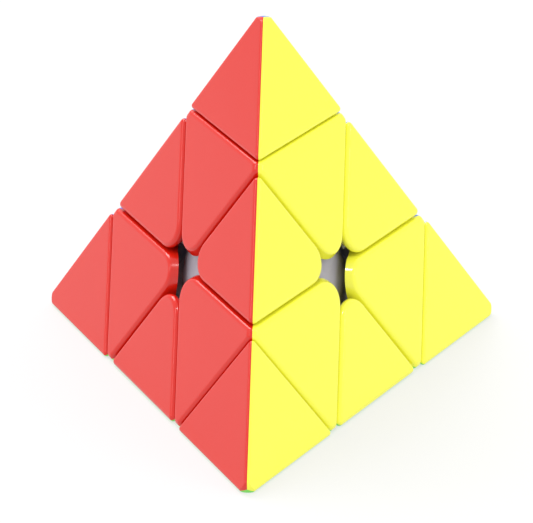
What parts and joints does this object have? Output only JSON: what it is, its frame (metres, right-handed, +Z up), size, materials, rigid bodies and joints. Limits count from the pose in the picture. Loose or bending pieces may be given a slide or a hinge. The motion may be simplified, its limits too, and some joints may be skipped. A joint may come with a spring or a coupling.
{
  "type": "pyramid twisty puzzle",
  "caption": "Stickerless pyramid twisty puzzle: coloured shells on turning corner, tip and edge pieces round a hollow ball core with sprung screws.",
  "frame": {"origin": "centre of the core ball, where the four turning axes meet", "axes": "+Z up through the top corner; the puzzle stands on the face opposite it; -Y towards the front edge's foot corner; +X to the right"},
  "size_m": [0.0942, 0.082, 0.0771],
  "materials": {
    "red_shell": "satin",
    "yellow_shell": "satin",
    "green_shell": "satin",
    "blue_shell": "satin",
    "grey_inner": "matte",
    "grey_core": "satin",
    "steel": "zinc plated"
  },
  "bodies": {
    "core": {"core": "grey_core", "core_screws": "steel", "core_springs": "steel", "core_washers": "steel"},
    "axial_T": {"axial_T_blue": "blue_shell", "axial_T_hub": "grey_inner", "axial_T_red": "red_shell", "axial_T_yellow": "yellow_shell"},
    "axial_F": {"axial_F_green": "green_shell", "axial_F_hub": "grey_inner", "axial_F_red": "red_shell", "axial_F_yellow": "yellow_shell"},
    "axial_L": {"axial_L_blue": "blue_shell", "axial_L_green": "green_shell", "axial_L_hub": "grey_inner", "axial_L_red": "red_shell"},
    "axial_R": {"axial_R_blue": "blue_shell", "axial_R_green": "green_shell", "axial_R_hub": "grey_inner", "axial_R_yellow": "yellow_shell"},
    "tip_T": {"tip_T_blue": "blue_shell", "tip_T_peg": "grey_inner", "tip_T_red": "red_shell", "tip_T_yellow": "yellow_shell"},
    "tip_F": {"tip_F_green": "green_shell", "tip_F_peg": "grey_inner", "tip_F_red": "red_shell", "tip_F_yellow": "yellow_shell"},
    "tip_L": {"tip_L_blue": "blue_shell", "tip_L_green": "green_shell", "tip_L_peg": "grey_inner", "tip_L_red": "red_shell"},
    "tip_R": {"tip_R_blue": "blue_shell", "tip_R_green": "green_shell", "tip_R_peg": "grey_inner", "tip_R_yellow": "yellow_shell"},
    "edge_TF": {"edge_TF_foot": "grey_inner", "edge_TF_red": "red_shell", "edge_TF_yellow": "yellow_shell"},
    "edge_TR": {"edge_TR_blue": "blue_shell", "edge_TR_foot": "grey_inner", "edge_TR_yellow": "yellow_shell"},
    "edge_TL": {"edge_TL_blue": "blue_shell", "edge_TL_foot": "grey_inner", "edge_TL_red": "red_shell"},
    "edge_FR": {"edge_FR_foot": "grey_inner", "edge_FR_green": "green_shell", "edge_FR_yellow": "yellow_shell"},
    "edge_LF": {"edge_LF_foot": "grey_inner", "edge_LF_green": "green_shell", "edge_LF_red": "red_shell"},
    "edge_RL": {"edge_RL_blue": "blue_shell", "edge_RL_foot": "grey_inner", "edge_RL_green": "green_shell"}
  },
  "joints": [
    {"name": "turn_T", "type": "hinge", "parent": "core", "child": "axial_T", "pos_m": [0, 0, 0], "axis": [0, 0, 1], "range_deg": [-240, 120]},
    {"name": "turn_F", "type": "hinge", "parent": "core", "child": "axial_F", "pos_m": [0, 0, 0], "axis": [0, -0.9428, -0.3333], "range_deg": [-240, 120]},
    {"name": "turn_L", "type": "hinge", "parent": "core", "child": "axial_L", "pos_m": [0, 0, 0], "axis": [-0.8165, 0.4714, -0.3333], "range_deg": [-240, 120]},
    {"name": "turn_R", "type": "hinge", "parent": "core", "child": "axial_R", "pos_m": [0, 0, 0], "axis": [0.8165, 0.4714, -0.3333], "range_deg": [-240, 120]},
    {"name": "tip_T", "type": "hinge", "parent": "axial_T", "child": "tip_T", "pos_m": [0, 0, 0], "axis": [0, 0, 1], "continuous": true},
    {"name": "tip_F", "type": "hinge", "parent": "axial_F", "child": "tip_F", "pos_m": [0, 0, 0], "axis": [0, -0.9428, -0.3333], "continuous": true},
    {"name": "tip_L", "type": "hinge", "parent": "axial_L", "child": "tip_L", "pos_m": [0, 0, 0], "axis": [-0.8165, 0.4714, -0.3333], "continuous": true},
    {"name": "tip_R", "type": "hinge", "parent": "axial_R", "child": "tip_R", "pos_m": [0, 0, 0], "axis": [0.8165, 0.4714, -0.3333], "continuous": true},
    {"name": "edge_TF_turn", "type": "hinge", "parent": "axial_T", "child": "edge_TF", "pos_m": [0, 0, 0], "axis": [0, -0.9428, -0.3333], "range_deg": [-240, 120]},
    {"name": "edge_TR_turn", "type": "hinge", "parent": "axial_T", "child": "edge_TR", "pos_m": [0, 0, 0], "axis": [0.8165, 0.4714, -0.3333], "range_deg": [-240, 120]},
    {"name": "edge_TL_turn", "type": "hinge", "parent": "axial_T", "child": "edge_TL", "pos_m": [0, 0, 0], "axis": [-0.8165, 0.4714, -0.3333], "range_deg": [-240, 120]},
    {"name": "edge_FR_turn", "type": "hinge", "parent": "axial_F", "child": "edge_FR", "pos_m": [0, 0, 0], "axis": [0.8165, 0.4714, -0.3333], "range_deg": [-240, 120]},
    {"name": "edge_LF_turn", "type": "hinge", "parent": "axial_L", "child": "edge_LF", "pos_m": [0, 0, 0], "axis": [0, -0.9428, -0.3333], "range_deg": [-240, 120]},
    {"name": "edge_RL_turn", "type": "hinge", "parent": "axial_R", "child": "edge_RL", "pos_m": [0, 0, 0], "axis": [-0.8165, 0.4714, -0.3333], "range_deg": [-240, 120]}
  ],
  "couplings": [
    {"joint": "edge_TF_turn", "follows": "turn_F", "ratio": 1},
    {"joint": "edge_TR_turn", "follows": "turn_R", "ratio": 1},
    {"joint": "edge_TL_turn", "follows": "turn_L", "ratio": 1},
    {"joint": "edge_FR_turn", "follows": "turn_R", "ratio": 1},
    {"joint": "edge_LF_turn", "follows": "turn_F", "ratio": 1},
    {"joint": "edge_RL_turn", "follows": "turn_L", "ratio": 1}
  ]
}
